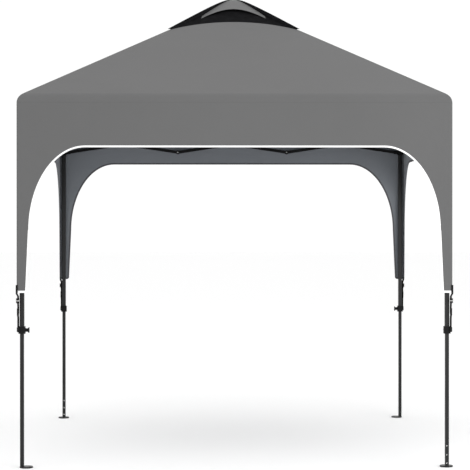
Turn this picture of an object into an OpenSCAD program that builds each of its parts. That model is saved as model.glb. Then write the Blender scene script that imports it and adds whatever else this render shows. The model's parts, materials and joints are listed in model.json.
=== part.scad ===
// Pop-up canopy: four telescoping legs, a scissor truss along each side,
// four folding rafters that meet at a central hub, and a vented fabric roof.
// Millimetres, +Z up, origin on the ground at the centre of the four legs.

/* [Plan] */
// Distance between the leg centres along each side
leg_spacing = 2400; // [2300:10:2500]
// Number of scissor pairs along each side
pairs_per_side = 3; // [3:1:3]
// Gap between a leg's centre and the fabric's outer face
fabric_offset = 28; // [27:1:32]

/* [Heights] */
// Height of the upper row of truss pivots
upper_pivot_z = 2012; // [2000:1:2030]
// Slope of the truss bars when the frame is open, in degrees
bar_angle = 8.7; // [8.3:0.1:9]
// Height of the rafter pivot on a leg
rafter_pivot_z = 2082; // [2074:1:2084]
// Height of the rafter pivots on the hub
hub_pivot_z = 2760; // [2752:1:2761]
// Height of the roof's eave fold
eave_z = 2094; // [2092:1:2100]
// Height where the roof's four planes would meet
roof_peak_z = 2798; // [2797:1:2810]
// Height of the vent cap's peak
cap_peak_z = 2812; // [2811:1:2824]

/* [Legs] */
// Outside width of the square outer leg
outer_leg_w = 25; // [25:0.5:26]
// Outside width of the square inner leg
inner_leg_w = 21.6; // [21:0.1:21.8]
// Wall of both leg tubes
leg_wall = 1.2; // [1:0.1:1.2]
// Height of the outer leg's lower end
outer_leg_z = 757; // [740:1:780]
// Height of the outer leg's upper end
outer_leg_top_z = 2075; // [2072:1:2078]
// Height of the inner leg's upper end
inner_leg_top_z = 1020; // [960:1:1060]
// Radius of the round foot plate
foot_r = 37; // [34:1:40]
// Thickness of the foot plate
foot_t = 8; // [6:1:10]
// Distance from the leg's centre to the foot plate's centre
foot_offset = 24; // [20:1:26]
// Radius of the stake hole in the foot plate
stake_hole_r = 5.5; // [4:0.5:6]

/* [Truss and rafters] */
// Depth of the truss bars and rafters
bar_depth = 20; // [18:1:20]
// Thickness of a truss bar
bar_t = 10; // [9:0.5:10]
// Distance from a leg's centre to its truss pivots
truss_pivot_x = 35; // [34:1:36]
// Length of a lower rafter between its pivots
lower_rafter_len = 430; // [420:5:440]
// Slope of a lower rafter when open, in degrees
lower_rafter_angle = 18; // [17:0.1:19]
// Thickness of a rafter
rafter_t = 9; // [8:0.5:9]
// Distance from the leg's centre to the rafter pivot, along the diagonal
rafter_pivot_x = 43; // [42:1:44]
// Radius of the rafter pivots on the hub
hub_pivot_r = 35; // [34:1:36]

/* [Fabric] */
// Thickness of the canopy's cloth solids
cloth_t = 2; // [1.5:0.1:2.2]
// Height of the straight part of the valance's lower edge
valance_z = 1812; // [1790:1:1830]
// Half width of the straight part of the valance's lower edge
arch_half_w = 843; // [800:1:900]
// Height where the arch turns into the leg drape
arch_spring_z = 1340; // [1300:1:1400]
// Height of the leg drapes' lower end
drape_z = 997; // [980:1:1020]
// Width of a leg drape where the arch starts
drape_top_w = 65; // [60:1:70]
// Width of a leg drape at its lower end
drape_foot_w = 50; // [46:1:56]
// Half width of the roof's vent at its corners
vent_corner = 405; // [390:1:420]
// Half width of the roof's opening at the middle of each side
vent_mid = 289; // [280:1:300]
// Half width of the vent cap at the middle of each side
cap_mid = 190; // [180:1:210]

/* [Hidden] */
$fn = 48;
corners = ["front_left", "front_right", "rear_right", "rear_left"];
sides = ["front", "right", "rear", "left"];

charcoal = "#38393b";
black = "#1b1c1e";
grey = "#76777a";

half = leg_spacing / 2;
canopy_half = half + fabric_offset;
roof_slope = (roof_peak_z - eave_z) / canopy_half;
cap_slope = 0.585;
cloth_drop = cloth_t * 1.15;
hip_gap = 0.4;

span = (leg_spacing - 2 * truss_pivot_x) / pairs_per_side;
bar_len = span / cos(bar_angle);
bar_rise = span * tan(bar_angle);
lower_pivot_z = upper_pivot_z - bar_rise;
layer_gap = 3;
layer_y = (bar_t + layer_gap) / 2;

diagonal = leg_spacing / sqrt(2);
elbow_x = rafter_pivot_x + lower_rafter_len * cos(lower_rafter_angle);
elbow_z = rafter_pivot_z + lower_rafter_len * sin(lower_rafter_angle);
hub_x = diagonal - hub_pivot_r;
upper_rafter_len = norm([hub_x - elbow_x, hub_pivot_z - elbow_z]);
upper_rafter_angle = atan2(hub_pivot_z - elbow_z, hub_x - elbow_x);
rafter_gap = 2;
rafter_y = (rafter_t + rafter_gap) / 2;

pin_r = 3;
bore_r = pin_r + 0.1;
hub_bore_r = 5.6;
head_r = 6;
head_t = 2.2;
head_gap = 0.2;
washer_r = 7;
washer_slack = 0.4;

block_w = 36;
clevis_wall = 4;
clevis_slack = 1;
clevis_h = 26;
clevis_nose = 11;
slider_h = 40;
sleeve_gap = 0.3;
bracket_z = 1988;
bracket_h = 102;
collar_w = 37;
collar_h = 41;
knob_z = outer_leg_z + collar_h / 2;
plunger_r = 4;
lock_hole_r = 4.2;
hole_heights = [23, 70, 121];

hub_core_r = 24;
hub_slot_r = 21;
hub_slot_w = 13;
hub_h = 30;
button_r = 12;

strap_w = 25;
strap_z = 770;
strap_lap = 33;

// Puts children at leg k, with +X along the leg's own side and +Y along the side before it
module at_corner(k) {
    rotate([0, 0, 90 * k]) translate([-half, -half, 0]) children();
}

// Puts children on the diagonal of leg k, with +X from the leg's centre to the canopy's centre
module on_diagonal(k) {
    at_corner(k) rotate([0, 0, 45]) children();
}

module rounded_square(w, r) {
    union() {
        square([w - 2 * r, w], center = true);
        square([w, w - 2 * r], center = true);
        for (x = [-1, 1], y = [-1, 1])
            translate([x * (w / 2 - r), y * (w / 2 - r)]) circle(r);
    }
}

module square_tube(w, wall, h, r) {
    linear_extrude(h) difference() {
        rounded_square(w, r);
        rounded_square(w - 2 * wall, r - wall / 2);
    }
}

module along_x(h) {
    rotate([0, 90, 0]) linear_extrude(h, center = true) children();
}

module along_y(h) {
    rotate([90, 0, 0]) linear_extrude(h, center = true) children();
}

// A flat link of tube with round ends, open at both ends, pivots at x = 0 and x = len
module link(len, t, wall, bores) {
    difference() {
        along_y(t) union() {
            translate([0, -bar_depth / 2]) square([len, bar_depth]);
            circle(bar_depth / 2);
            translate([len, 0]) circle(bar_depth / 2);
        }
        cube([3 * len, t - 2 * wall, bar_depth - 2 * wall], center = true);
        for (b = bores) translate([b[0], 0, 0]) along_y(2 * t) circle(b[1]);
    }
}

// A rivet with two heads, and a washer between the layers, along Y
module rivet(y_low, y_high, washer) {
    mid = (y_low + y_high) / 2;
    reach = (y_high - y_low) / 2 + head_gap;
    translate([0, mid, 0]) union() {
        along_y(2 * (reach + head_t)) circle(pin_r);
        for (s = [-1, 1])
            translate([0, s * (reach + head_t / 2), 0]) along_y(head_t) circle(head_r);
        if (washer > 0) translate([0, -mid, 0]) along_y(washer) circle(washer_r);
    }
}

// Two cheeks that hold a link of thickness t centred on y, pivot at x = px
module clevis(px, y, t) {
    slot = t + clevis_slack;
    for (s = [-1, 1])
        translate([0, y + s * (slot + clevis_wall) / 2, 0]) difference() {
            union() {
                translate([px / 2, 0, 0]) cube([px, clevis_wall, clevis_h], center = true);
                translate([px, 0, 0]) cube([2 * clevis_nose, clevis_wall, clevis_h - 2], center = true);
            }
            translate([px, 0, 0]) along_y(2 * clevis_wall) circle(bore_r);
        }
}

module clevis_pin(px, y, t) {
    reach = (t + clevis_slack) / 2 + clevis_wall;
    translate([px, 0, 0]) rivet(y - reach, y + reach, 0);
}

module outer_leg(k) {
    color(charcoal) at_corner(k) difference() {
        translate([0, 0, outer_leg_z])
            square_tube(outer_leg_w, leg_wall, outer_leg_top_z - outer_leg_z, 2);
        translate([outer_leg_w / 2, 0, knob_z]) along_x(2 * leg_wall + 4) circle(plunger_r + 0.4);
    }
}

module inner_leg(k) {
    color(charcoal) at_corner(k) union() {
        difference() {
            translate([0, 0, foot_t])
                square_tube(inner_leg_w, leg_wall, inner_leg_top_z - foot_t, 2);
            for (z = concat(hole_heights, [knob_z]))
                translate([0, 0, z]) along_x(inner_leg_w + 4) circle(lock_hole_r);
        }
        difference() {
            translate([foot_offset, 0, 0]) cylinder(h = foot_t, r = foot_r);
            translate([foot_offset + foot_r / 2, 0, -1]) cylinder(h = foot_t + 2, r = stake_hole_r);
        }
    }
}

module top_bracket() {
    socket_w = outer_leg_w + 0.2;
    difference() {
        union() {
            translate([0, 0, bracket_z])
                linear_extrude(bracket_h) rounded_square(block_w, 4);
            translate([0, 0, upper_pivot_z]) clevis(truss_pivot_x, -layer_y, bar_t);
            translate([0, 0, upper_pivot_z])
                rotate([0, 0, 90]) clevis(truss_pivot_x, -layer_y, bar_t);
            translate([0, 0, rafter_pivot_z])
                rotate([0, 0, 45]) clevis(rafter_pivot_x, -rafter_y, rafter_t);
        }
        translate([-socket_w / 2, -socket_w / 2, bracket_z - 1])
            cube([socket_w, socket_w, outer_leg_top_z - bracket_z + 1.2]);
    }
}

// The collar clamps the outer leg's lower end, guides the lock knob and carries the strap hook
module leg_collar(k) {
    socket_w = outer_leg_w + 0.2;
    hook_t = fabric_offset - cloth_t - collar_w / 2 - cloth_t - 0.2;
    difference() {
        union() {
            translate([0, 0, outer_leg_z]) linear_extrude(collar_h) rounded_square(collar_w, 4);
            translate([collar_w / 2, 0, knob_z]) along_x(6) circle(11);
            rotate([0, 0, k % 2 == 0 ? 180 : -90])
                translate([collar_w / 2 - 1, -strap_w / 2, outer_leg_z + 8])
                    cube([hook_t + 1, strap_w, 16]);
        }
        translate([-socket_w / 2, -socket_w / 2, outer_leg_z - 1])
            cube([socket_w, socket_w, collar_h + 2]);
        translate([collar_w / 2, 0, knob_z]) along_x(30) circle(plunger_r + 0.2);
    }
}

module leg_fittings(k) {
    color(black) at_corner(k) union() {
        top_bracket();
        leg_collar(k);
        translate([0, 0, upper_pivot_z]) clevis_pin(truss_pivot_x, -layer_y, bar_t);
        translate([0, 0, upper_pivot_z])
            rotate([0, 0, 90]) clevis_pin(truss_pivot_x, -layer_y, bar_t);
        translate([0, 0, rafter_pivot_z])
            rotate([0, 0, 45]) clevis_pin(rafter_pivot_x, -rafter_y, rafter_t);
    }
}

module slider(k) {
    bore_w = outer_leg_w + 2 * sleeve_gap;
    color(black) at_corner(k) translate([0, 0, lower_pivot_z]) union() {
        difference() {
            union() {
                translate([0, 0, -slider_h / 2])
                    linear_extrude(slider_h) rounded_square(block_w, 4);
                clevis(truss_pivot_x, layer_y, bar_t);
                rotate([0, 0, 90]) clevis(truss_pivot_x, layer_y, bar_t);
            }
            cube([bore_w, bore_w, 2 * slider_h], center = true);
        }
        clevis_pin(truss_pivot_x, layer_y, bar_t);
        rotate([0, 0, 90]) clevis_pin(truss_pivot_x, layer_y, bar_t);
    }
}

// A flared pull knob on a spring plunger
module leg_lock_knob(k) {
    grip_x = collar_w / 2 + 3.4;
    color(black) at_corner(k) translate([0, 0, knob_z]) rotate([0, 90, 0]) union() {
        translate([0, 0, inner_leg_w / 2 + 0.3])
            cylinder(h = grip_x - inner_leg_w / 2 + 1, r = plunger_r);
        translate([0, 0, grip_x]) cylinder(h = 6, r1 = 11, r2 = 9);
        translate([0, 0, grip_x + 6]) cylinder(h = 9, r1 = 9, r2 = 13);
        translate([0, 0, grip_x + 15]) cylinder(h = 4, r = 16);
    }
}

// Truss bars of side k. A "down" bar falls from the upper row to the lower row, in the
// outer layer, and carries the rivets of its pair. An "up" bar rises, in the inner layer.
module bar_down(k, i) {
    bores = [[0, bore_r], [bar_len / 2, bore_r], [bar_len, bore_r]];
    rivet_at = [if (i > 1) 0, bar_len / 2, if (i < pairs_per_side) bar_len];
    reach = layer_y + bar_t / 2;
    color(charcoal) at_corner(k)
        translate([truss_pivot_x + (i - 1) * span, 0, upper_pivot_z])
            rotate([0, bar_angle, 0]) union() {
                translate([0, -layer_y, 0]) link(bar_len, bar_t, 1, bores);
                for (x = rivet_at)
                    translate([x, 0, 0]) rivet(-reach, reach, layer_gap - washer_slack);
            }
}

module bar_up(k, i) {
    bores = [[0, bore_r], [bar_len / 2, bore_r], [bar_len, bore_r]];
    color(charcoal) at_corner(k)
        translate([truss_pivot_x + (i - 1) * span, layer_y, lower_pivot_z])
            rotate([0, -bar_angle, 0]) link(bar_len, bar_t, 1, bores);
}

module lower_rafter(k) {
    bores = [[0, bore_r], [lower_rafter_len, bore_r]];
    reach = rafter_y + rafter_t / 2;
    color(charcoal) on_diagonal(k) translate([rafter_pivot_x, 0, rafter_pivot_z])
        rotate([0, -lower_rafter_angle, 0]) union() {
            translate([0, -rafter_y, 0]) link(lower_rafter_len, rafter_t, 1, bores);
            translate([lower_rafter_len, 0, 0])
                rivet(-reach, reach, rafter_gap - washer_slack);
        }
}

module upper_rafter(k) {
    bores = [[0, bore_r], [upper_rafter_len, hub_bore_r]];
    color(charcoal) on_diagonal(k) translate([elbow_x, rafter_y, elbow_z])
        rotate([0, -upper_rafter_angle, 0]) link(upper_rafter_len, rafter_t, 1, bores);
}

// Children are placed at a hub pivot, with +X towards the hub's centre
module at_hub_pivot(k) {
    on_diagonal(k) translate([hub_x, rafter_y, hub_pivot_z]) children();
}

module centre_hub() {
    post_z = hub_pivot_z + 14;
    cheek_y = (hub_slot_w + clevis_wall) / 2;
    color(black) union() {
        difference() {
            union() {
                translate([0, 0, hub_pivot_z - hub_h / 2 - 1]) cylinder(h = hub_h, r = hub_core_r);
                for (k = [0:3], s = [-1, 1]) at_hub_pivot(k)
                    translate([(hub_pivot_r - clevis_nose) / 2, s * cheek_y, 0])
                        cube([hub_pivot_r + clevis_nose, clevis_wall, 24], center = true);
                translate([0, 0, post_z - 1]) cylinder(h = 4, r = 34);
                translate([0, 0, post_z]) cylinder(h = 14, r = 28);
                translate([0, 0, post_z]) cylinder(h = 29, r = 8);
            }
            for (k = [0:3]) at_hub_pivot(k) {
                translate([hub_pivot_r - hub_slot_r - 60, -hub_slot_w / 2, -40])
                    cube([60, hub_slot_w, 40 + 13]);
                along_y(60) circle(bore_r);
            }
            translate([0, 0, hub_pivot_z - hub_h / 2 - 2])
                cylinder(h = hub_h / 2 + 2, r = button_r + 0.3);
        }
        for (k = [0:3]) at_hub_pivot(k)
            rivet(-hub_slot_w / 2 - clevis_wall, hub_slot_w / 2 + clevis_wall, 0);
    }
}

module hub_release_button() {
    color(grey) translate([0, 0, hub_pivot_z - 38]) union() {
        cylinder(h = 30, r = button_r);
        cylinder(h = 5, r = 16);
    }
}

// Solid under a square roof of four equal planes, dropped by d
module roof_block(peak, slope, half_w, d) {
    edge_z = peak - slope * half_w - d;
    outline = [
        [-half_w, edge_z - 10], [half_w, edge_z - 10],
        [half_w, edge_z], [0, peak - d], [-half_w, edge_z]
    ];
    intersection() {
        along_y(2 * half_w) polygon(outline);
        rotate([0, 0, 90]) along_y(2 * half_w) polygon(outline);
    }
}

// Cloth of thickness cloth_drop, measured upright, below a roof's planes
module roof_shell(peak, slope, half_w, d, thick) {
    difference() {
        roof_block(peak, slope, half_w, d);
        roof_block(peak, slope, half_w + 20, d + thick);
    }
}

// A square with blunt corners near (c, c) whose sides bow inwards to mid
module star(c, mid) {
    blunt = 1.5;
    bow = c - mid;
    r = (c * c + bow * bow) / (2 * bow);
    difference() {
        square(2 * (c - blunt), center = true);
        for (k = [0:3]) rotate(90 * k) translate([0, -mid - r]) circle(r, $fn = 200);
    }
}

// Parts children along the four hips, where the panels are sewn together
module panels() {
    for (k = [0:3]) intersection() {
        children();
        rotate([0, 0, 90 * k]) linear_extrude(roof_peak_z + 100)
            polygon([[0, -hip_gap], [leg_spacing, -leg_spacing - hip_gap], [-leg_spacing, -leg_spacing - hip_gap]]);
    }
}

module canopy_roof() {
    color(grey) panels() difference() {
        roof_shell(roof_peak_z, roof_slope, canopy_half, 0, cloth_drop);
        translate([0, 0, eave_z]) linear_extrude(1000) star(vent_corner, vent_mid);
    }
}

module arch() {
    arch_w = canopy_half - drape_top_w - arch_half_w;
    arch_h = valance_z - arch_spring_z;
    right = [for (a = [90:-5:0]) [arch_half_w + arch_w * cos(a), arch_spring_z + arch_h * sin(a)]];
    left = [for (a = [0:5:90]) [-arch_half_w - arch_w * cos(a), arch_spring_z + arch_h * sin(a)]];
    foot_x = canopy_half - drape_foot_w;
    polygon(concat(right, [[foot_x, drape_z], [foot_x, drape_z - 5]],
                   [[-foot_x, drape_z - 5], [-foot_x, drape_z]], left));
}

module tension_strap(x, y) {
    side = sign(x);
    translate([side * (canopy_half - cloth_t - cloth_t / 2), y, (strap_z + drape_z + strap_lap) / 2])
        cube([cloth_t, strap_w, drape_z + strap_lap - strap_z], center = true);
}

module canopy_valance() {
    inner_w = 2 * (canopy_half - cloth_t);
    color(grey) union() {
        difference() {
            translate([-canopy_half, -canopy_half, drape_z])
                cube([2 * canopy_half, 2 * canopy_half, eave_z - cloth_drop - drape_z]);
            translate([-inner_w / 2, -inner_w / 2, drape_z - 1])
                cube([inner_w, inner_w, eave_z]);
            along_y(3 * leg_spacing) arch();
            rotate([0, 0, 90]) along_y(3 * leg_spacing) arch();
        }
        for (x = [-half, half], y = [-half, half]) tension_strap(x, y);
    }
}

module vent_cap() {
    color(grey) panels() intersection() {
        roof_shell(cap_peak_z, cap_slope, vent_corner + 2, 0, cloth_drop);
        translate([0, 0, eave_z]) linear_extrude(1000) star(vent_corner, cap_mid);
    }
}

module vent_mesh() {
    mesh_t = 1.2;
    under_roof = 4;
    color("#222326") panels() difference() {
        intersection() {
            roof_shell(roof_peak_z, roof_slope, vent_corner + 30, under_roof, mesh_t);
            translate([0, 0, eave_z]) linear_extrude(1000) star(vent_corner + 20, vent_mid + 15);
        }
        translate([0, 0, eave_z]) cylinder(h = 1000, r = 60);
    }
}

for (k = [0:3]) {
    outer_leg(k);
    leg_fittings(k);
    inner_leg(k);
    slider(k);
    leg_lock_knob(k);
    lower_rafter(k);
    upper_rafter(k);
    for (i = [1:pairs_per_side]) {
        bar_down(k, i);
        bar_up(k, i);
    }
}
centre_hub();
hub_release_button();
canopy_roof();
canopy_valance();
vent_cap();
vent_mesh();
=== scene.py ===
import json
import math

import bpy
from mathutils import Matrix, Vector


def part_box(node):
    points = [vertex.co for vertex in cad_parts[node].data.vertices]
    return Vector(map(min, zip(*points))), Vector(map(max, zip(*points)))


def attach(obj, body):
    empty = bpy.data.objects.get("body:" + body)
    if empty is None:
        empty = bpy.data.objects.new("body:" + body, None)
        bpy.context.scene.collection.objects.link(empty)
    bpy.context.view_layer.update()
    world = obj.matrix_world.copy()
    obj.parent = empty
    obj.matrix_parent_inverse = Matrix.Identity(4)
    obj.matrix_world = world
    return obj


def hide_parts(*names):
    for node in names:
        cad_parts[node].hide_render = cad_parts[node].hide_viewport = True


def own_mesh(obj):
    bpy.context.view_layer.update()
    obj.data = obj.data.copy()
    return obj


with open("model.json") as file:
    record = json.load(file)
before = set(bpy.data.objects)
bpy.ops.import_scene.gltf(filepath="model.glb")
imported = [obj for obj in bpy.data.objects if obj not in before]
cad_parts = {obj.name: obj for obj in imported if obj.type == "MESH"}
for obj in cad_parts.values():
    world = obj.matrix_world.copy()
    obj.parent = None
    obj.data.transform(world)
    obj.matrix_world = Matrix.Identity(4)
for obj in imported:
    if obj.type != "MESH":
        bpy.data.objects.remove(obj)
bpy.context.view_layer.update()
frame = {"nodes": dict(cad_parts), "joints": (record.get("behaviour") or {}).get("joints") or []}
print("frame loaded:", len(frame["nodes"]), "nodes")

corners = ["front_left", "front_right", "rear_right", "rear_left"]
sides = ["front", "right", "rear", "left"]
mm = 0.001


# places taken from the frame
def jointPlace(name):
    joint = next(j for j in frame["joints"] if j["name"] == name)
    return Vector(joint["pos_m"])


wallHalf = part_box("canopy_valance")[1].x  # half width of the canopy
clothDrop = 2.3 * mm  # upright thickness of the roof's cloth
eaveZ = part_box("canopy_valance")[1].z + clothDrop
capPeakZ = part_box("vent_cap")[1].z

canopy = {
    "archHalf": 0.843,       # half width of the straight lower edge
    "valanceZ": 1.808,       # height of the straight lower edge
    "springZ": 1.340,        # where the arch meets the leg drape
    "drapeZ": 0.989,         # lower end of the leg drapes
    "drapeTop": 0.076,       # width of a leg drape at the arch
    "drapeFoot": 0.060,      # and at its lower end
    "drapeRound": 0.014,     # rounded inner corner of a drape
    "cornerRound": 0.009,    # radius of the upright corners
    "eaveRound": 0.036,      # how far the eave's curve reaches each way
    "roofSag": 0.007,        # how far a roof panel sinks between its hips
    "cloth": 0.0011,         # cloth thickness
    "ventCorner": 0.405,     # roof's opening at a hip, from the middle
    "ventMid": 0.289,        # and at the middle of a side
    "capMid": 0.190,         # cap's edge at the middle of a side
    "capEdgeMidZ": 2.727,    # cap's lower edge at the middle of a side
    "capLift": 0.009,        # cap's corners above the roof
    "peakSoft": 0.16,        # how softly the cap's peak is rounded
    "foldRoof": 0.20,        # share of a roof panel's width left when folded
    "foldVent": 0.3,         # and of a vent panel's
    "foldValance": 0.092,    # share of a valance's length left when folded
}

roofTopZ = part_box("canopy_roof")[1].z
roofSlope = (roofTopZ - eaveZ) / (wallHalf - canopy["ventMid"])
roofPeakZ = eaveZ + roofSlope * wallHalf
cutX = wallHalf - canopy["drapeTop"]
elbow = jointPlace("rafter_elbow_front_left")
elbowSum = abs(elbow.x) + abs(elbow.y)  # the roof is cut where |x| + |y| is this


def roofZ(x, y):
    return roofPeakZ - roofSlope * max(abs(x), abs(y))


# camera, light and floor
view = {"place": (-0.069, -10.261, 1.352), "turnRight": 0.447, "tiltDown": 0.243, "lens": 122.9}


def makeCamera():
    data = bpy.data.cameras.new("camera")
    data.lens, data.sensor_width = view["lens"], 36
    data.clip_end = 200
    camera = bpy.data.objects.new("camera", data)
    bpy.context.scene.collection.objects.link(camera)
    camera.location = view["place"]
    camera.rotation_euler = (
        math.radians(90 - view["tiltDown"]), 0, math.radians(-view["turnRight"]))
    bpy.context.scene.camera = camera


light = {"sky": 1.03, "key": 150, "keySize": 7, "fill": 400}


def makeLight(name, place, target, size, power):
    data = bpy.data.lights.new(name, "AREA")
    data.shape, data.size, data.energy = "DISK", size, power
    lamp = bpy.data.objects.new(name, data)
    bpy.context.scene.collection.objects.link(lamp)
    lamp.location = place
    lamp.rotation_euler = (Vector(target) - Vector(place)).to_track_quat("-Z", "Y").to_euler()


def makeStage():
    world = bpy.data.worlds.new("studio")
    bpy.context.scene.world = world
    world.use_nodes = True
    sky = world.node_tree.nodes["Background"]
    sky.inputs["Color"].default_value = (1, 1, 1, 1)
    sky.inputs["Strength"].default_value = light["sky"]
    makeLight("key", (-4, -7, 9), (0, 0, 1), light["keySize"], light["key"])
    makeLight("fill", (5.5, -7, 3.6), (0, 0, 1), light["keySize"], light["fill"])
    bpy.ops.object.select_all(action="DESELECT")
    bpy.ops.mesh.primitive_plane_add(size=160, location=(0, 0, 0))
    floor = bpy.context.object
    floor.name = "floor"
    paint = Shader("paleFloor", (0.96, 0.96, 0.96), 0.9)
    floor.data.materials.append(paint.material)


# materials
# a socket with arithmetic on it
class Wire:
    def __init__(self, shader, socket):
        self.shader, self.socket = shader, socket

    def math(self, operation, other=0.0, turned=False):
        pair = (other, self) if turned else (self, other)
        return self.shader.node("ShaderNodeMath", {"operation": operation}, pair)

    def __add__(self, other): return self.math("ADD", other)
    def __radd__(self, other): return self.math("ADD", other, True)
    def __sub__(self, other): return self.math("SUBTRACT", other)
    def __rsub__(self, other): return self.math("SUBTRACT", other, True)
    def __mul__(self, other): return self.math("MULTIPLY", other)
    def __rmul__(self, other): return self.math("MULTIPLY", other, True)
    def __gt__(self, other): return self.math("GREATER_THAN", other)
    def __abs__(self): return self.math("ABSOLUTE")


# a Principled material, and the nodes that feed it
class Shader:
    def __init__(self, name, color, roughness, metallic=0.0):
        self.material = bpy.data.materials.new(name)
        self.material.use_nodes = True
        self.tree = self.material.node_tree
        self.surface = self.tree.nodes["Principled BSDF"]
        self.surface.inputs["Base Color"].default_value = (*color, 1)
        self.surface.inputs["Roughness"].default_value = roughness
        self.surface.inputs["Metallic"].default_value = metallic
        self.place = self.node("ShaderNodeTexCoord", out="Object")

    def node(self, kind, settings=None, inputs=(), out=0):
        made = self.tree.nodes.new(kind)
        for key, value in (settings or {}).items():
            if key == "stops":
                self.setStops(made.color_ramp, value)
            else:
                setattr(made, key, value)
        pairs = inputs.items() if isinstance(inputs, dict) else enumerate(inputs)
        for key, value in pairs:
            self.feed(made.inputs[key], value)
        return Wire(self, made.outputs[out])

    def setStops(self, ramp, stops):
        while len(ramp.elements) < len(stops):
            ramp.elements.new(0.5)
        for element, (position, color) in zip(ramp.elements, stops):
            element.position = position
            element.color = (*color, 1) if len(color) == 3 else color

    def feed(self, socket, value):
        if isinstance(value, Wire):
            self.tree.links.new(value.socket, socket)
        else:
            socket.default_value = value

    def set(self, **values):
        for key, value in values.items():
            self.feed(self.surface.inputs[key.replace("_", " ")], value)
        return self

    def noise(self, scale, detail=3.0, rough=0.5, stretch=None):
        at = self.place
        if stretch:
            at = self.node("ShaderNodeMapping", {}, {"Vector": at, "Scale": stretch})
        return self.node("ShaderNodeTexNoise", {}, {
            "Vector": at, "Scale": scale, "Detail": detail, "Roughness": rough})

    def axes(self):
        split = self.node("ShaderNodeSeparateXYZ", {}, {"Vector": self.place})
        return [Wire(self, split.socket.node.outputs[i]) for i in range(3)]

    def ramp(self, factor, stops):
        return self.node("ShaderNodeValToRGB", {"stops": stops}, [factor])

    def mixColor(self, factor, one, two):
        made = self.tree.nodes.new("ShaderNodeMix")
        made.data_type = "RGBA"
        sockets = (made.inputs[0], made.inputs[6], made.inputs[7])  # factor and two colours
        for socket, value in zip(sockets, (factor, one, two)):
            if isinstance(value, tuple):
                value = (*value, 1)
            self.feed(socket, value)
        return Wire(self, made.outputs[2])

    def bump(self, height, strength, distance):
        made = self.node("ShaderNodeBump", {}, {
            "Height": height, "Strength": strength, "Distance": distance})
        return self.set(Normal=made)

    def smooth(self, value, low, high):
        return self.node("ShaderNodeMapRange", {"interpolation_type": "SMOOTHSTEP"}, {
            "Value": value, "From Min": low, "From Max": high})


clothLook = {
    "outer": (0.098, 0.098, 0.0985),
    "inner": (0.172, 0.184, 0.201),
    "threads": 1900,        # thread bumps a metre
    "stitchGap": 0.009,     # from a seam to its stitching
}


def clothMaterial(name, color, inner=False):
    look = Shader(name, color, 0.78)
    x, y, z = look.axes()
    # plain weave: threads over and under along both ways of the cloth
    run = x.math("ADD", y)
    weave = (run * clothLook["threads"]).math("SINE") * (z * clothLook["threads"]).math("SINE")
    slub = look.noise(260, 2, 0.6)
    broad = look.noise(2.2, 4, 0.55)
    soft = look.noise(9, 3, 0.5)
    # stitching runs beside the hips and under the eave
    hip = abs(abs(x) - abs(y))
    onRoof = z > eaveZ + 0.004
    hipStitch = look.smooth(abs(hip - clothLook["stitchGap"]), 0.0022, 0.0006) * onRoof
    eaveStitch = look.smooth(abs(z - (eaveZ - 0.034)), 0.0018, 0.0005)
    stitch = (hipStitch + eaveStitch).math("MINIMUM", 1.0)
    dash = look.smooth(((run + z) * 1100).math("SINE"), -0.4, 0.1)
    shade = broad * 0.10 + soft * 0.05 + slub * 0.08 + 0.885
    dark = tuple(c * 0.72 for c in color)
    tone = look.mixColor(stitch * dash * 0.8, color, dark)
    tinted = look.node("ShaderNodeVectorMath", {"operation": "SCALE"},
                       {"Vector": tone, "Scale": shade})
    look.set(Base_Color=tinted, Roughness=soft * 0.12 + (0.66 if inner else 0.74))
    height = weave * 0.35 + slub * 0.5 + soft * 6.0 - stitch * dash * 1.5
    look.bump(height, 0.35, 0.0006)
    look.set(Sheen_Weight=0.12, Sheen_Roughness=0.5, Specular_IOR_Level=0.3)
    return look.material


def tapeMaterial(name, color, ribs=900, shine=0.3):
    look = Shader(name, color, 0.7)
    look.set(Specular_IOR_Level=shine)
    x, y, z = look.axes()
    rib = ((x + y + z) * ribs).math("SINE")
    grain = look.noise(420, 3, 0.6)
    tone = look.ramp(grain, [(0.3, tuple(c * 0.86 for c in color)), (0.75, color)])
    look.set(Base_Color=tone, Roughness=grain * 0.2 + 0.6)
    look.bump(rib * 0.6 + grain, 0.4, 0.0004)
    return look.material


def powderMaterial(name, color, roughness, shine):
    look = Shader(name, color, roughness)
    look.set(Specular_IOR_Level=shine)
    speck = look.noise(900, 4, 0.6)
    broad = look.noise(6, 4, 0.6)
    scuff = look.noise(38, 5, 0.7, (1, 1, 0.18))
    worn = look.smooth(scuff, 0.66, 0.80)
    tone = look.ramp(broad, [(0.3, tuple(c * 0.82 for c in color)),
                             (0.7, tuple(c * 1.14 for c in color))])
    look.set(Base_Color=look.mixColor(worn * 0.35, tone, tuple(c * 2.1 for c in color)),
             Roughness=broad * 0.14 + (roughness - 0.07) + worn * 0.1)
    look.bump(speck, 0.22, 0.0003)
    return look.material


def plasticMaterial(name, color, roughness=0.48, shine=0.12):
    look = Shader(name, color, roughness)
    look.set(Specular_IOR_Level=shine)
    grain = look.noise(1300, 3, 0.55)
    broad = look.noise(14, 3, 0.5)
    tone = look.ramp(broad, [(0.3, tuple(c * 0.85 for c in color)),
                             (0.75, tuple(c * 1.25 for c in color))])
    look.set(Base_Color=tone, Roughness=broad * 0.16 + (roughness - 0.08))
    look.bump(grain, 0.3, 0.0002)
    return look.material


def metalMaterial(name, color, roughness=0.34):
    look = Shader(name, color, roughness, 1.0)
    brush = look.noise(500, 3, 0.6, (1, 1, 0.1))
    spot = look.noise(40, 4, 0.6)
    tone = look.ramp(spot, [(0.35, tuple(c * 0.8 for c in color)), (0.7, color)])
    look.set(Base_Color=tone, Roughness=brush * 0.15 + (roughness - 0.07))
    look.bump(brush, 0.15, 0.0002)
    return look.material


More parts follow.
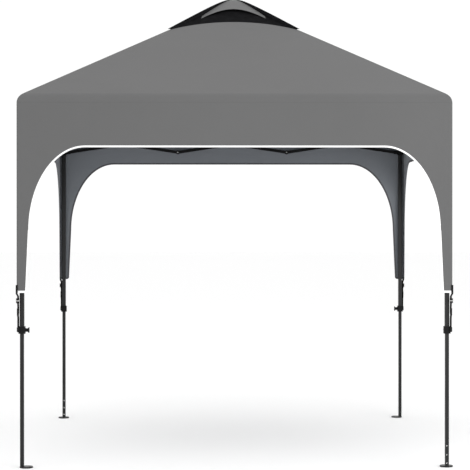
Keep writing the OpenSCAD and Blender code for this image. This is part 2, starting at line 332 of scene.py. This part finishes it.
def meshMaterial(name):
    look = Shader(name, (0.006, 0.006, 0.0065), 0.85)
    x, y, z = look.axes()
    net = ((x + y) * 1500).math("SINE") * ((x - y) * 1500).math("SINE")
    cloud = look.noise(30, 3, 0.5)
    tone = look.ramp(cloud, [(0.3, (0.004, 0.004, 0.0045)), (0.8, (0.010, 0.010, 0.011))])
    look.set(Base_Color=tone, Roughness=cloud * 0.1 + 0.85, Specular_IOR_Level=0.06)
    look.bump(net, 0.8, 0.0006)
    return look.material


def makeMaterials():
    return {
        "clothOut": clothMaterial("canopyCloth", clothLook["outer"]),
        "clothIn": clothMaterial("canopyLining", clothLook["inner"], True),
        "piping": tapeMaterial("whitePiping", (0.86, 0.86, 0.86)),
        "hem": tapeMaterial("hemTape", (0.085, 0.084, 0.093)),
        "webbing": tapeMaterial("blackWebbing", (0.005, 0.005, 0.0055), 2600, 0.05),
        "frame": powderMaterial("charcoalPowderCoat", (0.012, 0.0122, 0.0128), 0.40, 0.25),
        "bar": powderMaterial("blackPowderCoat", (0.006, 0.006, 0.0065), 0.42, 0.12),
        "fitting": plasticMaterial("blackNylon", (0.005, 0.005, 0.0055)),
        "button": plasticMaterial("greyNylon", (0.13, 0.13, 0.135)),
        "zinc": metalMaterial("zincPlate", (0.72, 0.72, 0.70)),
        "net": meshMaterial("ventNet"),
    }


# tools for the sheets
# a grid whose point at (column, row) goes to place(column, row), facing outward
def newSheet(name, columns, rows, place, outward):
    bpy.ops.object.select_all(action="DESELECT")
    bpy.ops.mesh.primitive_grid_add(x_subdivisions=columns, y_subdivisions=rows, size=2)
    sheet = bpy.context.object
    sheet.name = sheet.data.name = name
    for point in sheet.data.vertices:
        column = round((point.co.x + 1) / 2 * columns)
        row = round((point.co.y + 1) / 2 * rows)
        point.co = place(column, row)
    sheet.data.update()
    facing = sum((f.normal * f.area for f in sheet.data.polygons), Vector())
    if facing.dot(Vector(outward)) < 0:
        sheet.data.flip_normals()
    return sheet


def editMesh(piece, *steps):
    bpy.ops.object.select_all(action="DESELECT")
    bpy.context.view_layer.objects.active = piece
    piece.select_set(True)
    bpy.ops.object.mode_set(mode="EDIT")
    bpy.ops.mesh.select_all(action="SELECT")
    for step in steps:
        step()
    bpy.ops.object.mode_set(mode="OBJECT")


# cuts along a plane and keeps one side
def cutSheet(piece, point, normal, keepInner):
    editMesh(piece, lambda: bpy.ops.mesh.bisect(
        plane_co=point, plane_no=normal, threshold=1e-6,
        clear_outer=keepInner, clear_inner=not keepInner))


def thicken(piece, thickness, *materials):
    for paint in materials:
        piece.data.materials.append(paint)
    solid = piece.modifiers.new("thickness", "SOLIDIFY")
    solid.thickness, solid.offset = thickness, -1
    solid.use_even_offset = True
    if len(materials) > 1:
        solid.material_offset = 1
    bpy.ops.object.select_all(action="DESELECT")
    bpy.context.view_layer.objects.active = piece
    piece.select_set(True)
    bpy.ops.object.modifier_apply(modifier="thickness")
    bpy.ops.object.shade_smooth_by_angle(angle=math.radians(40))


# a copy turned by quarter turns about the upright axis
def turned(piece, quarter, name):
    copy = piece.copy()
    copy.data = piece.data.copy()
    copy.name = copy.data.name = name
    bpy.context.scene.collection.objects.link(copy)
    copy.data.transform(Matrix.Rotation(math.radians(90 * quarter), 4, "Z"))
    return copy


def turnVector(vector, quarter):
    return Matrix.Rotation(math.radians(90 * quarter), 3, "Z") @ Vector(vector)


def mirrorX(piece):
    piece.data.transform(Matrix.Scale(-1, 4, (1, 0, 0)))
    piece.data.flip_normals()


def remove(piece):
    bpy.data.objects.remove(piece)


# roof
# plan point on the bowed edge of a front half panel: t 0 at the hip, 1 at the middle
def starEdge(corner, mid, t):
    bow = corner - mid
    radius = (corner ** 2 + bow ** 2) / (2 * bow)
    x = -corner * (1 - t)
    return Vector((x, -mid - radius + math.sqrt(radius ** 2 - x ** 2)))


# point of the front roof's left half: r 0 at the vent, 1 at the eave
def roofPlace(t, r):
    reach = wallHalf - canopy["eaveRound"]
    top = starEdge(canopy["ventCorner"], canopy["ventMid"], t)
    foot = Vector((-reach * (1 - t), -reach))
    plan = top.lerp(foot, r)
    middle = math.sin(math.pi * t / 2) ** 2
    sag = canopy["roofSag"] * middle * math.sin(math.pi * r)
    return Vector((plan.x, plan.y, roofZ(plan.x, plan.y) - sag))


hipLine = Vector((1, 1, roofSlope)).normalized()
panelNormal = Vector((0, -roofSlope, 1)).normalized()
acrossPanel = panelNormal.cross(hipLine).normalized()


def rideRafter(piece, part, quarter, half):
    corner = (quarter + half) % 4
    axis = Vector(acrossPanel)
    if half:
        axis.x = -axis.x
    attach(piece, f"{part}_rafter_{corners[corner]}")
    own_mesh(piece)


roofColumns, roofRows = 28, 44


def makeRoof(paints):
    elbowNormal = Vector((-1, -1, 0)).normalized()
    elbowPoint = Vector((-elbowSum / 2, -elbowSum / 2, 0))
    for part in ("upper", "lower"):
        for half in (0, 1):
            base = newSheet("roofBase", roofColumns, roofRows,
                            lambda c, r: roofPlace(c / roofColumns, r / roofRows), (0, -0.5, 1))
            cutSheet(base, elbowPoint, elbowNormal, part == "upper")
            if half:
                mirrorX(base)
            thicken(base, canopy["cloth"], paints["clothOut"], paints["clothIn"])
            for quarter, side in enumerate(sides):
                piece = turned(base, quarter, f"roof_{part}_{side}_{'ab'[half]}")
                rideRafter(piece, part, quarter, half)
                if part == "upper":
                    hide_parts("canopy_roof")
                declareSheet(piece)
            remove(base)


leastAreaShare = 0.31  # a smaller area is raised to this share of the rectangle


# the rectangle is the piece's two longest spans in place, not its unrolled cloth
def declareSheet(piece):
    area = sum(f.area for f in piece.data.polygons) / 2
    low = [min(v.co[i] for v in piece.data.vertices) for i in range(3)]
    high = [max(v.co[i] for v in piece.data.vertices) for i in range(3)]
    spans = sorted((h - l for l, h in zip(low, high)), reverse=True)
    width, length = spans[1], spans[0]
    if width * length < area:
        width = area / length * 1.02
    max(area, leastAreaShare * width * length)


# point of the cap's front left half: r 0 at the peak, 1 at the lower edge
def capPlace(t, r):
    edge = starEdge(canopy["ventCorner"], canopy["capMid"], t)
    cornerZ = roofZ(canopy["ventCorner"], 0) + canopy["capLift"]
    blend = math.sin(math.pi / 2 * t) ** 1.6
    edgeZ = cornerZ + (canopy["capEdgeMidZ"] - cornerZ) * blend
    soft = canopy["peakSoft"]
    eased = (math.sqrt(r * r + soft ** 2) - soft) / (math.sqrt(1 + soft ** 2) - soft)
    plan = edge * r
    return Vector((plan.x, plan.y, capPeakZ - (capPeakZ - edgeZ) * eased))


net = {
    "lap": 0.018,            # how far it reaches under the roof
    "start": 0.6,            # its upper edge, as a share of the cap's reach
    "underRoof": 0.0045,
    "underCap": 0.007,
}


# point of the vent net: r 0 under the cap's middle, 1 under the roof's edge
def netPlace(t, r):
    outer = starEdge(canopy["ventCorner"] + net["lap"], canopy["ventMid"] + net["lap"], t)
    inner = starEdge(canopy["ventCorner"], canopy["capMid"], t) * net["start"]
    plan = inner.lerp(outer, r)
    low = roofZ(outer.x, outer.y) - net["underRoof"]
    high = capPlace(t, net["start"]).z - net["underCap"]
    return Vector((plan.x, plan.y, high + (low - high) * r))


def makeVent(paints):
    makers = (
        ("vent_cap", capPlace, 20, 22, 0.0012, ("clothOut", "net"), "cloth", "vent_cap"),
        ("vent_net", netPlace, 16, 16, 0.0006, ("net",), "mesh", "vent_mesh"),
    )
    for name, place, columns, rows, thick, skins, slotName, node in makers:
        for half in (0, 1):
            base = newSheet("ventBase", columns, rows,
                            lambda c, r: place(c / columns, r / rows), (0, -0.5, 1))
            editMesh(base, lambda: bpy.ops.mesh.remove_doubles(threshold=0.0002))
            if half:
                mirrorX(base)
            thicken(base, thick, *[paints[s] for s in skins])
            for quarter, side in enumerate(sides):
                piece = turned(base, quarter, f"{name}_{side}_{'ab'[half]}")
                rideRafter(piece, "upper", quarter, half)
                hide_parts(node)
                declareSheet(piece)
            remove(base)


# valance and leg drapes
# height of the valance's lower edge
def archZ(x):
    reach = abs(x) - canopy["archHalf"]
    if reach <= 0:
        return canopy["valanceZ"]
    span = cutX - canopy["archHalf"]
    rise = canopy["valanceZ"] - canopy["springZ"]
    return canopy["springZ"] + rise * math.sqrt(max(0, 1 - (reach / span) ** 2))


archColumns = 26  # columns across each curved end of the arch
flatColumns = 24
wallColumns = 2 * archColumns + flatColumns
eaveRows = 6


# columns crowd towards the steep ends of the arch
def archX(column):
    if column > wallColumns - column:
        return -archX(wallColumns - column)
    if column >= archColumns:
        return -canopy["archHalf"] * (1 - 2 * (column - archColumns) / flatColumns)
    angle = math.pi / 2 * column / archColumns
    return -(canopy["archHalf"] + (cutX - canopy["archHalf"]) * math.cos(angle))


# the rounded eave above a wall point, s 0 at the wall and 1 on the roof
def eaveCurve(wall, s):
    reach = wallHalf - canopy["eaveRound"]
    start = Vector((wall.x, wall.y, eaveZ - canopy["eaveRound"]))
    knee = Vector((wall.x, wall.y, eaveZ))
    topX = max(-reach, min(reach, wall.x))
    topY = max(-reach, min(reach, wall.y))
    top = Vector((topX, topY, roofZ(topX, topY)))
    return start.lerp(knee, s).lerp(knee.lerp(top, s), s)


def valancePlace(column, row, rows):
    x = archX(column)
    wall = Vector((x, -wallHalf))
    if row > rows - eaveRows:
        return eaveCurve(wall, (row - rows + eaveRows) / eaveRows)
    low = archZ(x)
    z = low + (eaveZ - canopy["eaveRound"] - low) * row / (rows - eaveRows)
    return Vector((x, -wallHalf, z))


# plan point s metres round the front left corner: negative on the front, positive on the left
def cornerWall(s):
    r = canopy["cornerRound"]
    arc = r * math.pi / 4
    if abs(s) >= arc:
        along = -wallHalf + r + abs(s) - arc
        return Vector((along, -wallHalf)) if s < 0 else Vector((-wallHalf, along))
    angle = math.pi / 4 * s / arc
    centre = Vector((-wallHalf + r, -wallHalf + r))
    return centre + r * Vector((-math.sin(math.pi / 4 + angle), -math.cos(math.pi / 4 + angle)))


# how far round the corner a drape reaches at height z
def drapeReach(z):
    r = canopy["cornerRound"]
    trim = r - r * math.pi / 4
    share = min(1, max(0, (z - canopy["drapeZ"]) / (canopy["springZ"] - canopy["drapeZ"])))
    reach = canopy["drapeFoot"] + (canopy["drapeTop"] - canopy["drapeFoot"]) * share - trim
    rounding = canopy["drapeRound"]
    if z < canopy["drapeZ"] + rounding:
        reach -= rounding - math.sqrt(max(0, rounding ** 2 - (canopy["drapeZ"] + rounding - z) ** 2))
    return reach


drapeColumns = 8  # columns on each face
cornerColumns = 6  # and round the corner between them
footRows = 5  # rows on the rounded lower corners


def drapePlace(column, row, rows):
    columns = 2 * drapeColumns + cornerColumns
    wallTop = eaveZ - canopy["eaveRound"]
    wallRows = rows - eaveRows
    if row <= footRows:
        z = canopy["drapeZ"] + canopy["drapeRound"] * (1 - math.cos(math.pi / 2 * row / footRows))
    else:
        low = canopy["drapeZ"] + canopy["drapeRound"]
        rise = wallTop - canopy["drapeZ"] - canopy["drapeRound"]
        z = low + rise * (min(row, wallRows) - footRows) / (wallRows - footRows)
    reach = drapeReach(z)
    arc = canopy["cornerRound"] * math.pi / 4
    if column <= drapeColumns:
        s = -reach + (reach - arc) * column / drapeColumns
    elif column >= columns - drapeColumns:
        s = reach - (reach - arc) * (columns - column) / drapeColumns
    else:
        s = -arc + 2 * arc * (column - drapeColumns) / cornerColumns
    wall = cornerWall(s)
    if row > wallRows:
        return eaveCurve(wall, (row - wallRows) / eaveRows)
    return Vector((wall.x, wall.y, z))


def rideValance(piece, quarter):
    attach(piece, f"leg_{corners[quarter]}")
    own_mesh(piece)


def makeWalls(paints):
    valanceRows, drapeRows = 22, 60
    base = newSheet("valanceBase", wallColumns, valanceRows,
                    lambda c, r: valancePlace(c, r, valanceRows), (0, -1, 0))
    thicken(base, canopy["cloth"], paints["clothOut"], paints["clothIn"])
    for quarter, side in enumerate(sides):
        piece = turned(base, quarter, f"valance_{side}")
        rideValance(piece, quarter)
        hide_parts("canopy_valance")
    remove(base)
    base = newSheet("drapeBase", 2 * drapeColumns + cornerColumns, drapeRows,
                    lambda c, r: drapePlace(c, r, drapeRows), (-1, -1, 0))
    thicken(base, canopy["cloth"], paints["clothOut"], paints["clothIn"])
    for quarter, corner in enumerate(corners):
        piece = turned(base, quarter, f"leg_drape_{corner}")
        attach(piece, f"leg_{corner}")
    remove(base)


# tapes sewn along the lower edges
tape = {"pipingWidth": 0.0100, "drapePiping": 0.0120, "pipingProud": 0.0016,
        "hemWidth": 0.011, "hemProud": 0.0007}


# the lower edge as (along, height) points on the unrolled wall
def edgePath(kind):
    if kind == "valance":
        return [(archX(c), archZ(archX(c))) for c in range(wallColumns + 1)]
    r = canopy["cornerRound"]
    trim = r - r * math.pi / 4
    rounding = canopy["drapeRound"]
    drop = canopy["springZ"] - canopy["drapeZ"] - rounding
    heights = [canopy["springZ"] - drop * i / 16 for i in range(17)]
    heights += [canopy["drapeZ"] + rounding * (1 - math.sin(math.pi / 2 * i / 6)) for i in range(1, 7)]
    side = [(-drapeReach(z), z) for z in heights]
    reach = canopy["drapeFoot"] - trim - rounding
    foot = [(-reach * (1 - i / 8), canopy["drapeZ"]) for i in range(1, 9)]
    half = side + foot
    return half + [(-s, z) for s, z in reversed(half[:-1])]


# a flat strip that follows a lower edge, on the cloth's outer or inner face
def tapeOnEdge(name, kind, width, proud, outside, paint):
    path = [Vector(p) for p in edgePath(kind)]
    inward = []
    for i, point in enumerate(path):
        ahead = (path[min(i + 1, len(path) - 1)] - path[max(i - 1, 0)]).normalized()
        inward.append(Vector((-ahead.y, ahead.x)))
    if inward[len(path) // 2].y < 0:
        inward = [-v for v in inward]
    stand = proud if outside else -canopy["cloth"]

    def place(column, row):
        flat = path[column] + inward[column] * (width * row / 2 - 0.0008)
        if kind == "valance":
            return Vector((flat.x, -wallHalf - stand, flat.y))
        wall = cornerWall(flat.x)
        away = (wall - Vector((-wallHalf + 0.03, -wallHalf + 0.03))).normalized()
        if abs(flat.x) > 0.007:  # past the rounded corner
            away = Vector((0, -1)) if flat.x < 0 else Vector((-1, 0))
        return Vector((wall.x + away.x * stand, wall.y + away.y * stand, flat.y))

    outward = (0, -1, 0) if kind == "valance" else (-1, -1, 0)
    strip = newSheet(name, len(path) - 1, 2, place, outward)
    thicken(strip, proud, paint)
    return strip


def makeTapes(paints):
    for kind in ("valance", "drape"):
        for name, width, proud, outside, paint in (
                ("piping", tape["pipingWidth" if kind == "valance" else "drapePiping"],
                 tape["pipingProud"], True, "piping"),
                ("hem", tape["hemWidth"], tape["hemProud"], False, "hem")):
            base = tapeOnEdge("tapeBase", kind, width, proud, outside, paints[paint])
            for quarter in range(4):
                where = sides[quarter] if kind == "valance" else corners[quarter]
                piece = turned(base, quarter, f"{name}_{kind}_{where}")
                if kind == "valance":
                    rideValance(piece, quarter)
                else:
                    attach(piece, f"leg_{where}")
            remove(base)


# webbing straps, buckles and hardware
def startPiece(name, add, **settings):
    bpy.ops.object.select_all(action="DESELECT")
    add(**settings)
    piece = bpy.context.object
    piece.name = piece.data.name = name
    bpy.ops.object.transform_apply(location=True, rotation=True, scale=True)
    return piece


# in edit mode: selects the faces that pass the test
def selectFaces(piece, test):
    bpy.ops.object.mode_set(mode="OBJECT")
    for group in (piece.data.vertices, piece.data.edges, piece.data.polygons):
        for item in group:
            item.select = False
    for face in piece.data.polygons:
        face.select = test(face)
    bpy.ops.object.mode_set(mode="EDIT")


def bevelAll(piece, width, segments=2, angle=40):
    bevel = piece.modifiers.new("edges", "BEVEL")
    bevel.width, bevel.segments, bevel.limit_method = width, segments, "ANGLE"
    bevel.angle_limit = math.radians(angle)
    bpy.ops.object.select_all(action="DESELECT")
    bpy.context.view_layer.objects.active = piece
    piece.select_set(True)
    bpy.ops.object.modifier_apply(modifier="edges")
    bpy.ops.object.shade_smooth_by_angle(angle=math.radians(35))


def join(pieces, name):
    bpy.ops.object.select_all(action="DESELECT")
    for piece in pieces:
        piece.select_set(True)
    bpy.context.view_layer.objects.active = pieces[0]
    bpy.ops.object.join()
    pieces[0].name = pieces[0].data.name = name
    return pieces[0]


strap = {
    "width": 0.016, "thick": 0.0018,
    "topZ": 1.032, "buckleZ": 0.943, "tailZ": 0.862, "footZ": 0.768,
    "corner": 1.2196,        # the leg's outer corner, from the middle
    "onDrape": 0.0112,       # how far it stands out where it is sewn on the drape
    "drapeEnd": 0.965,       # height where it leaves the drape
    "buckleBump": (0.020, 0.0022),  # spread and rise over the buckle
    "tailBump": (0.010, 0.0018),    # and over the folded tail
}


# the webbing lies across the leg's corner: sewn on the drape, through a buckle, down to the collar
def strapPlace(column, row, rows):
    z = strap["topZ"] + (strap["footZ"] - strap["topZ"]) * row / rows
    out = strap["onDrape"] * smoothStep((z - strap["drapeEnd"]) / 0.02)
    for middle, (spread, rise) in ((strap["buckleZ"], strap["buckleBump"]),
                                   (strap["tailZ"], strap["tailBump"])):
        out += rise * math.exp(-((z - middle) / spread) ** 2)
    side = (column / 4 - 0.5) * strap["width"]
    return onCorner(side, out, z)


def smoothStep(t):
    t = min(1, max(0, t))
    return t * t * (3 - 2 * t)


# a point on the front left leg's corner: side along its diagonal face, out away from the leg
def onCorner(side, out, z):
    reach = strap["corner"] * math.sqrt(2) + out
    turn = math.sqrt(0.5)
    return Vector((-(reach - side) * turn, -(reach + side) * turn, z))


# moves a piece modelled about the origin, facing -Y, on to the strap
def turnToCorner(piece, out, z):
    turn = Matrix.Rotation(math.radians(-45), 4, "Z")
    piece.data.transform(Matrix.Translation(onCorner(0, out, z)) @ turn)


def makeStrap(paints):
    rows = 60
    band = newSheet("strapBase", 4, rows, lambda c, r: strapPlace(c, r, rows), (-1, -1, 0))
    thicken(band, strap["thick"], paints["webbing"])
    # the folded tail of the webbing, sewn back on itself
    tail = startPiece("tail", bpy.ops.mesh.primitive_cube_add, size=1,
                      scale=(strap["width"] * 0.96, 0.0024, 0.040))
    editMesh(tail, lambda: bpy.ops.mesh.subdivide(number_cuts=3))
    bevelAll(tail, 0.0006)
    tail.data.materials.append(paints["webbing"])
    turnToCorner(tail, 0.0022, strap["tailZ"] + 0.018)
    hook = startPiece("hook", bpy.ops.mesh.primitive_cube_add, size=1,
                      scale=(strap["width"] * 1.15, 0.0055, 0.026))
    bevelAll(hook, 0.0014, 3)
    hook.data.materials.append(paints["fitting"])
    turnToCorner(hook, 0.0005, strap["footZ"] + 0.012)
    return join([band, tail, hook], "strapBase")


buckle = {"wide": 0.025, "tall": 0.026, "thick": 0.0036, "rim": 0.0040, "barTall": 0.0052}


# a ladder buckle: a frame with two slots, and a bright bar across its middle
def makeBuckle(paints):
    body = startPiece("buckleBase", bpy.ops.mesh.primitive_cube_add, size=1,
                      scale=(buckle["wide"], buckle["thick"], buckle["tall"]))
    editMesh(body, lambda: bpy.ops.mesh.bisect(plane_co=(0, 0, 0), plane_no=(0, 0, 1)),
             lambda: selectFaces(body, lambda f: abs(f.normal.y) > 0.9),
             lambda: bpy.ops.mesh.inset(thickness=buckle["rim"], use_individual=True))
    picked = [f for f in body.data.polygons if f.select]
    largest = max(f.area for f in picked)
    centres = [f.center.copy() for f in picked if abs(f.area - largest) < 1e-9]
    for upper in (True, False):
        pair = [c for c in centres if (c.z > 0) == upper]
        editMesh(body, lambda: selectFaces(
                     body, lambda f: any((f.center - c).length < 1e-5 for c in pair)),
                 lambda: bpy.ops.mesh.bridge_edge_loops())
    bevelAll(body, 0.0008, 2)
    body.data.materials.append(paints["fitting"])
    bar = startPiece("bar", bpy.ops.mesh.primitive_cylinder_add, vertices=20,
                     radius=buckle["barTall"] / 2, depth=buckle["wide"] * 1.06,
                     rotation=(0, math.pi / 2, 0), location=(0, -0.0022, 0))
    bevelAll(bar, 0.0006)
    bar.data.materials.append(paints["zinc"])
    whole = join([body, bar], "buckleBase")
    turnToCorner(whole, 0.0032, strap["buckleZ"])
    return whole


def makeStraps(paints):
    for base, name, slotName in ((makeStrap(paints), "tension_strap", "mesh"),
                                 (makeBuckle(paints), "strap_buckle", "frame_steel")):
        for corner in corners:
            piece = turned(base, 0, f"{name}_{corner}")
            scale = (-1 if "right" in corner else 1, -1 if "rear" in corner else 1)
            piece.data.transform(Matrix.Diagonal((scale[0], scale[1], 1, 1)))
            if scale[0] * scale[1] < 0:
                piece.data.flip_normals()
            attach(piece, f"leg_{corner}")
        remove(base)


boltCap = {"radius": 0.0135, "tall": 0.0048, "head": 0.0048, "headTall": 0.0026}


# a dished plastic washer cap with a hexagon bolt head, standing along +Z
def makeBoltCap(paints):
    tall = boltCap["tall"]
    cap = startPiece("capBase", bpy.ops.mesh.primitive_cylinder_add, vertices=28,
                     radius=boltCap["radius"], depth=tall, location=(0, 0, tall / 2))
    editMesh(cap, lambda: selectFaces(cap, lambda f: f.normal.z > 0.9),
             lambda: bpy.ops.mesh.inset(thickness=0.0034),
             lambda: bpy.ops.mesh.extrude_region_move(TRANSFORM_OT_translate={"value": (0, 0, -0.0016)}))
    bevelAll(cap, 0.0006)
    cap.data.materials.append(paints["fitting"])
    head = startPiece("head", bpy.ops.mesh.primitive_cylinder_add, vertices=6, radius=boltCap["head"],
                      depth=boltCap["headTall"], location=(0, 0, tall - 0.0016 + boltCap["headTall"] / 2))
    editMesh(head, lambda: selectFaces(head, lambda f: f.normal.z > 0.9),
             lambda: bpy.ops.mesh.inset(thickness=0.0007),
             lambda: bpy.ops.transform.translate(value=(0, 0, 0.0005)))
    bevelAll(head, 0.0003)
    head.data.materials.append(paints["zinc"])
    return join([cap, head], "capBase")


def placed(base, place, direction, name):
    copy = base.copy()
    copy.data = base.data.copy()
    copy.name = name
    bpy.context.scene.collection.objects.link(copy)
    turn = Vector(direction).to_track_quat("Z", "Y").to_matrix().to_4x4()
    copy.data.transform(Matrix.Translation(place) @ turn)
    return copy


# caps over the rivets of every truss bar that carries them, inside and outside
def makeTrussCaps(paints):
    base = makeBoltCap(paints)
    for quarter, side in enumerate(sides):
        for pair in (1, 2, 3):
            down = f"{side}_down_{pair}"
            caps = []
            cross = jointPlace(f"{side}_cross_{pair}")
            ends = barEnds(side, pair)
            places = [cross] + ([ends[0]] if pair > 1 else []) + ([ends[1]] if pair < 3 else [])
            inwards = turnVector((0, 1, 0), quarter)
            for place in places:
                for sign in (1, -1):
                    at = place + inwards * sign * 0.0118
                    caps.append(placed(base, at, inwards * sign, "cap"))
            piece = join(caps, f"bolt_caps_{side}_{pair}")
            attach(piece, down)
    remove(base)


# upper and lower pivots of a down bar
def barEnds(side, pair):
    quarter = sides.index(side)
    start = jointPlace("frame_fold")
    first = jointPlace("front_cross_1")
    span = 2 * (first.x - start.x)
    drop = 2 * (start.z - first.z)
    x = start.x + span * (pair - 1)
    upper = turnVector((x, start.y, start.z), quarter)
    lower = turnVector((x + span, start.y, start.z - drop), quarter)
    return upper, lower


def paintNodes(paints):
    for name, node in frame["nodes"].items():
        if name.startswith(("outer_leg", "inner_leg")):
            paint = paints["frame"]
        elif "_bar_" in name or "rafter" in name:
            paint = paints["bar"]
        elif name == "hub_release_button":
            paint = paints["button"]
        else:
            paint = paints["fitting"]
        node.data.materials.clear()
        node.data.materials.append(paint)


makeCamera()
makeStage()
bpy.context.scene.view_settings.view_transform = "Standard"
print("camera, light and floor")
paints = makeMaterials()
paintNodes(paints)
print("materials")
makeRoof(paints)
makeVent(paints)
print("roof and vent")
makeWalls(paints)
makeTapes(paints)
print("valance, leg drapes and tapes")
makeStraps(paints)
makeTrussCaps(paints)
print("straps, buckles and bolt caps")
